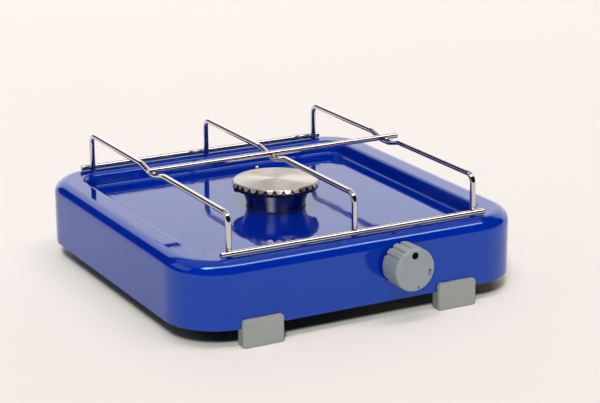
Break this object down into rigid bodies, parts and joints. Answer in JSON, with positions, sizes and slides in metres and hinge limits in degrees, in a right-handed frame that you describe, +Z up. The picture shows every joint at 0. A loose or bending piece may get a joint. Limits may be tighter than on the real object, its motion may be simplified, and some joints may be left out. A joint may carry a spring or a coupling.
{
  "type": "single burner gas stove",
  "caption": "Table-top gas stove with one round burner in a sunk enamelled tray, a lift-off wire pan support, a push-and-turn knob and a rear gas inlet.",
  "frame": {"origin": "on the ground, under the middle of the overall box", "axes": "+Z up, -Y towards the knob, +X to the right of a person at the knob"},
  "size_m": [0.287, 0.332, 0.0978],
  "materials": {
    "enamel_blue": "high-gloss vitreous enamel",
    "enamel_dark": "glossy dark enamel",
    "cap_steel": "satin pressed steel",
    "fibre": "matt sealing fibre",
    "chrome_wire": "bright plated wire",
    "foot_plastic": "matt grey plastic",
    "knob_plastic": "fine-grained grey plastic",
    "brass": "machined brass",
    "plated_steel": "zinc-plated steel",
    "spring_steel": "drawn spring wire",
    "pipe_aluminium": "drawn aluminium tube",
    "copper": "drawn copper",
    "valve_rubber": "moulded seal on a steel stem"
  },
  "bodies": {
    "chassis": {"hob_pan": "enamel_blue", "burner_bowl": "enamel_dark", "flame_lip": "enamel_dark", "burner_cap": "cap_steel", "burner_gasket": "fibre", "foot_front_left": "foot_plastic", "foot_front_right": "foot_plastic", "foot_rear_left": "foot_plastic", "foot_rear_right": "foot_plastic", "tap_body": "brass", "tap_bonnet": "brass", "injector_holder": "brass", "injector_jet": "brass", "inlet_connector": "brass", "outlet_union_nut": "brass", "injector_union_nut": "brass", "tap_inlet_union_nut": "brass", "connector_union_nut": "brass", "lead_nut": "brass", "probe_nut": "brass", "mixing_tube": "plated_steel", "burner_lock_nut": "plated_steel", "tap_panel_nut": "plated_steel", "tap_panel_washer": "plated_steel", "tap_screws": "plated_steel", "magnet_unit": "plated_steel", "magnet_nut": "plated_steel", "bulkhead_nut": "plated_steel", "bulkhead_washer": "plated_steel", "thermocouple_probe": "plated_steel", "return_spring": "spring_steel", "valve_spring": "spring_steel", "gas_pipe": "pipe_aluminium", "inlet_pipe": "pipe_aluminium", "thermocouple_lead": "copper"},
    "pan_support": {"support_wire_front": "chrome_wire", "support_wire_rear": "chrome_wire", "support_bail_left": "chrome_wire", "support_bail_middle": "chrome_wire", "support_bail_right": "chrome_wire", "support_wire_cross": "chrome_wire"},
    "push_stage": {"plug_push_pin": "plated_steel"},
    "knob_and_spindle": {"knob": "knob_plastic", "knob_spring_clip": "spring_steel", "spindle": "brass"},
    "taper_plug": {"tap_plug": "brass"},
    "valve": {"valve_disc": "valve_rubber"}
  },
  "joints": [
    {"name": "support_lift", "type": "slide", "parent": "chassis", "child": "pan_support", "axis": [0, 0, 1], "range_m": [0, 0.06]},
    {"name": "knob_push", "type": "slide", "parent": "chassis", "child": "push_stage", "axis": [0, 1, 0], "range_m": [0, 0.0025], "stiffness_N_per_m": 900, "springref_m": -0.004, "deforming": ["return_spring", "valve_spring"]},
    {"name": "knob_turn", "type": "hinge", "parent": "push_stage", "child": "knob_and_spindle", "pos_m": [0.0281, -0.15, 0.0439], "axis": [0, -1, 0], "range_deg": [0, 170]},
    {"name": "plug_turn", "type": "hinge", "parent": "chassis", "child": "taper_plug", "pos_m": [0.0281, -0.11, 0.0439], "axis": [0, -1, 0], "range_deg": [0, 170]},
    {"name": "valve_slide", "type": "slide", "parent": "chassis", "child": "valve", "axis": [0, 1, 0], "range_m": [0, 0.0025]}
  ],
  "couplings": [
    {"joint": "plug_turn", "follows": "knob_turn", "ratio": 1},
    {"joint": "valve_slide", "follows": "knob_push", "ratio": 1}
  ]
}
